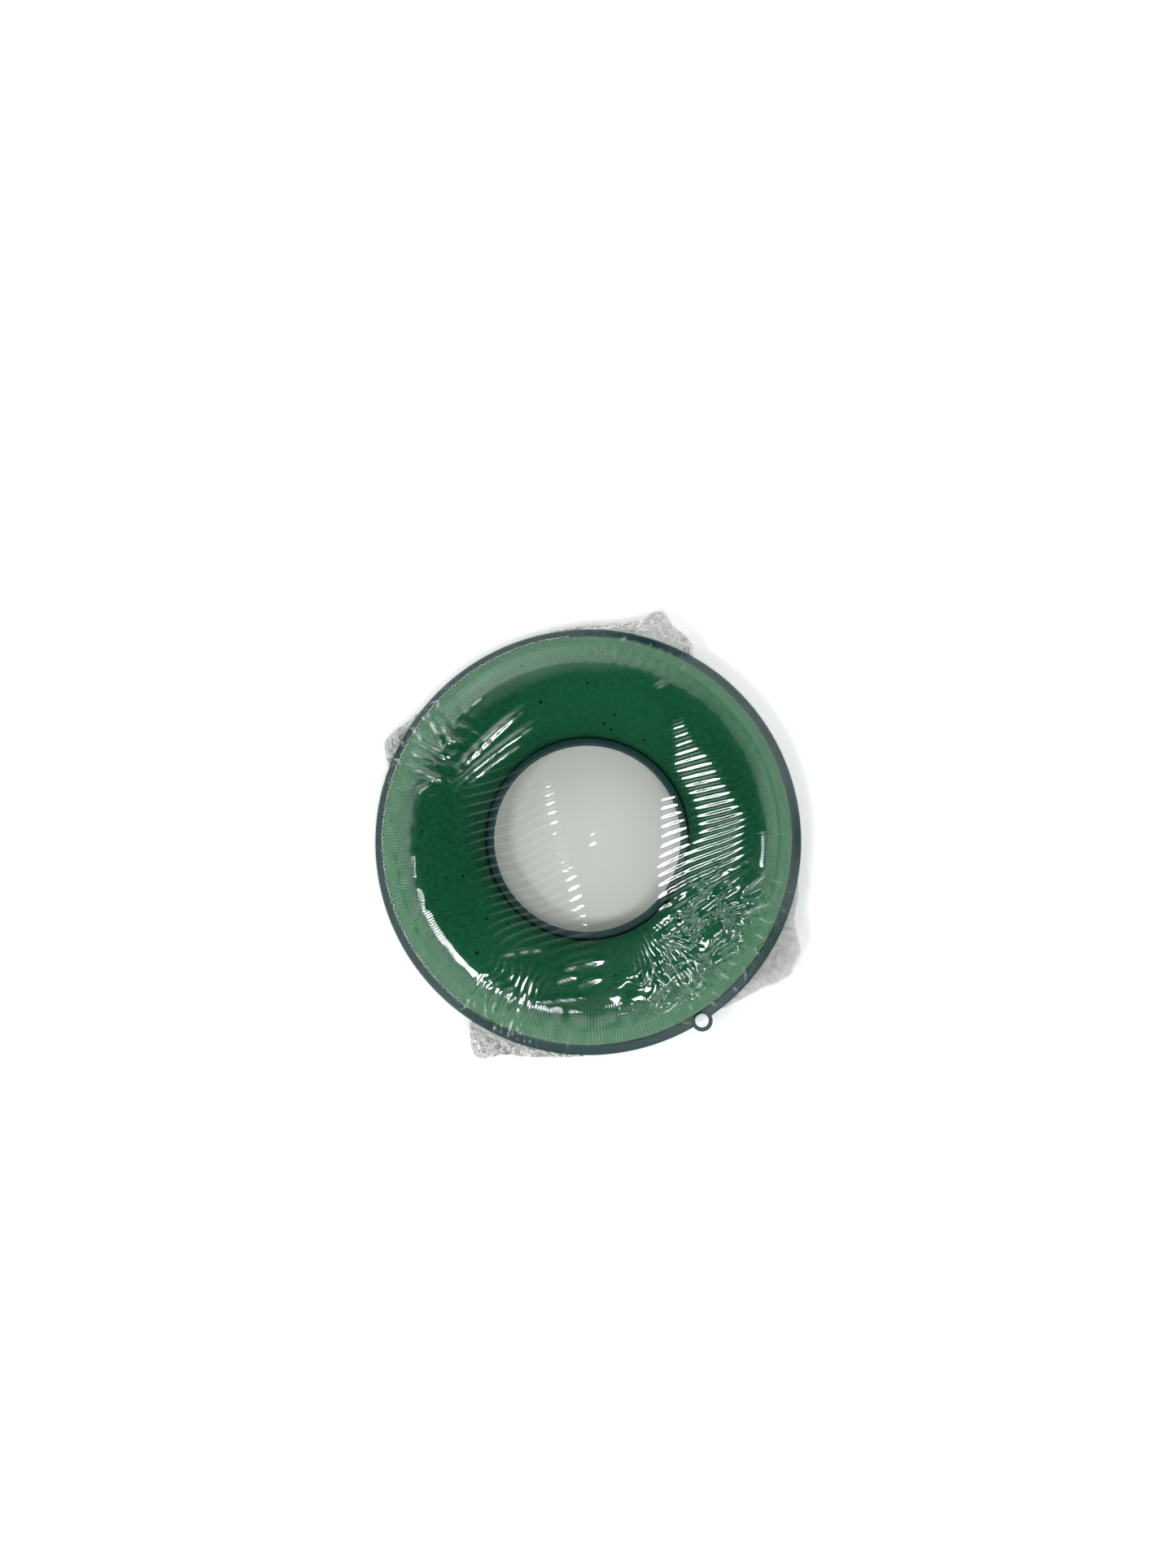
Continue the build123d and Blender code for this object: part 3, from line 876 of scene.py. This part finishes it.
# %% Room
room = bpy.data.worlds.new("pale_room")
bpy.context.scene.world = room
tree = empty_tree(room)
towards = add(tree, "TexCoord").outputs["Generated"]
parts = add(tree, "SeparateXYZ", {0: towards})
up = total(tree, "MULTIPLY_ADD", parts.outputs["Y"], 0.05, parts.outputs["Z"])
bright = total(tree, "ADD", remap(tree, up, 0.872, 0.835, 0.02, 0.97), remap(tree, up, 0.83, 0.4, 0.0, 0.25))
glow = add(tree, "VectorMath", {0: towards, 1: (0.2, -0.33, 0.92)}, operation="DOT_PRODUCT").outputs["Value"]
bright = total(tree, "ADD", bright, remap(tree, glow, 0.90, 1.0, 0.0, 0.4))
to_window = (-0.42, 0.64, 0.64)
window = add(tree, "VectorMath", {0: towards, 1: to_window}, operation="DOT_PRODUCT").outputs["Value"]
bright = total(tree, "ADD", bright, remap(tree, window, 0.80, 0.98, 0.0, 0.75))
uneven = add(tree, "TexNoise", {"Vector": towards, "Scale": 3.2, "Detail": 1.0})
high_up = remap(tree, parts.outputs["Z"], 0.35, 0.6)
patches_of_light = total(tree, "SUBTRACT", remap(tree, uneven.outputs["Fac"], 0.36, 0.64, 0.55, 1.4), 1.0)
bright = total(tree, "MULTIPLY", bright, total(tree, "MULTIPLY_ADD", patches_of_light, high_up, 1.0))
sky = add(tree, "Background", {"Color": (0.97, 1.0, 0.98, 1), "Strength": bright})
end = add(tree, "OutputWorld")
tree.links.new(sky.outputs[0], end.inputs["Surface"])


# %% Lamps
def strip_lamp(name, zenith, heading, distance, length, width, turned, radiance, colour=(1, 1, 1)):
    """An area lamp seen from the ring at that angle from straight up and that heading."""
    z, h = math.radians(zenith), math.radians(heading)
    back = Vector((math.sin(z) * math.cos(h), math.sin(z) * math.sin(h), math.cos(z)))
    along = Vector((math.cos(math.radians(turned)), math.sin(math.radians(turned)), 0))
    along = (along - back * along.dot(back)).normalized()
    side = back.cross(along)
    bpy.ops.object.light_add(type="AREA")
    lamp = bpy.context.object
    lamp.name = name
    facing = Matrix((along, side, back)).transposed().to_4x4()
    lamp.matrix_world = Matrix.Translation(back * distance) @ facing
    lamp.data.shape = "RECTANGLE"
    lamp.data.size, lamp.data.size_y = length, width
    lamp.data.energy = radiance * math.pi * length * width
    lamp.data.color = colour
    lamp.visible_camera = False
    return lamp


strip_lamp("lamp_lower_right", 17.6, -57.6, 1.7, 0.40, 0.31, 20, 18)
strip_lamp("lamp_right", 29, -8, 1.7, 0.26, 0.10, 80, 15, (0.86, 0.93, 1.0))
lower_left = strip_lamp("lamp_lower_left", 29.3, 221, 1.7, 0.54, 0.18, -44, 27, (0.95, 0.97, 1.0))
lower_left.data.shape = "ELLIPSE"

# %% Camera
camera_place = (0.0218, -0.0460, 0.6844)
camera_turn = (math.radians(6.68), math.radians(1.83), 0)
bpy.ops.object.camera_add(location=camera_place, rotation=camera_turn)
camera = bpy.context.object
camera.data.lens = 26
camera.data.sensor_width = 36
camera.data.clip_start = 0.01
bpy.context.scene.camera = camera
bpy.context.scene.view_settings.view_transform = "Standard"
bpy.ops.object.select_all(action="DESELECT")
